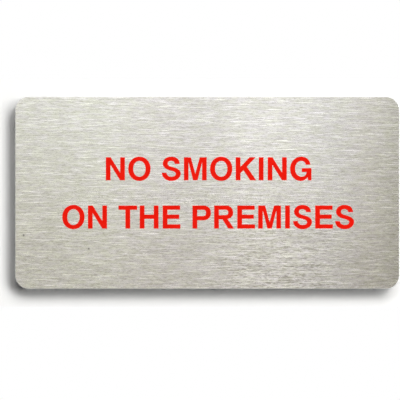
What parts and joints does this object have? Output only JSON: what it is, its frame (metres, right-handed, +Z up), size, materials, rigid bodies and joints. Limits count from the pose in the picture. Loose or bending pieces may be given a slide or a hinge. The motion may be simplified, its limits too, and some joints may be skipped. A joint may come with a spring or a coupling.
{
  "type": "no smoking sign",
  "caption": "Thin rectangular wall notice plate of brushed stainless steel with rounded corners, stuck up by level strips of foam tape across its back.",
  "frame": {"origin": "middle of the wall side of the foam tape, which is the plane that goes against the wall", "axes": "+Z up the sign, +X to the reader's right along its length, +Y out of the back towards the wall; the face that is read looks along -Y"},
  "size_m": [0.16, 0.0025, 0.08],
  "materials": {
    "brushed_stainless": "brushed lengthwise, satin",
    "foam_tape": "matte closed-cell foam",
    "notice_ink": "satin printed ink"
  },
  "bodies": {
    "root": {"plate": "brushed_stainless", "tape_top": "foam_tape", "tape_middle": "foam_tape", "tape_bottom": "foam_tape"}
  },
  "joints": []
}
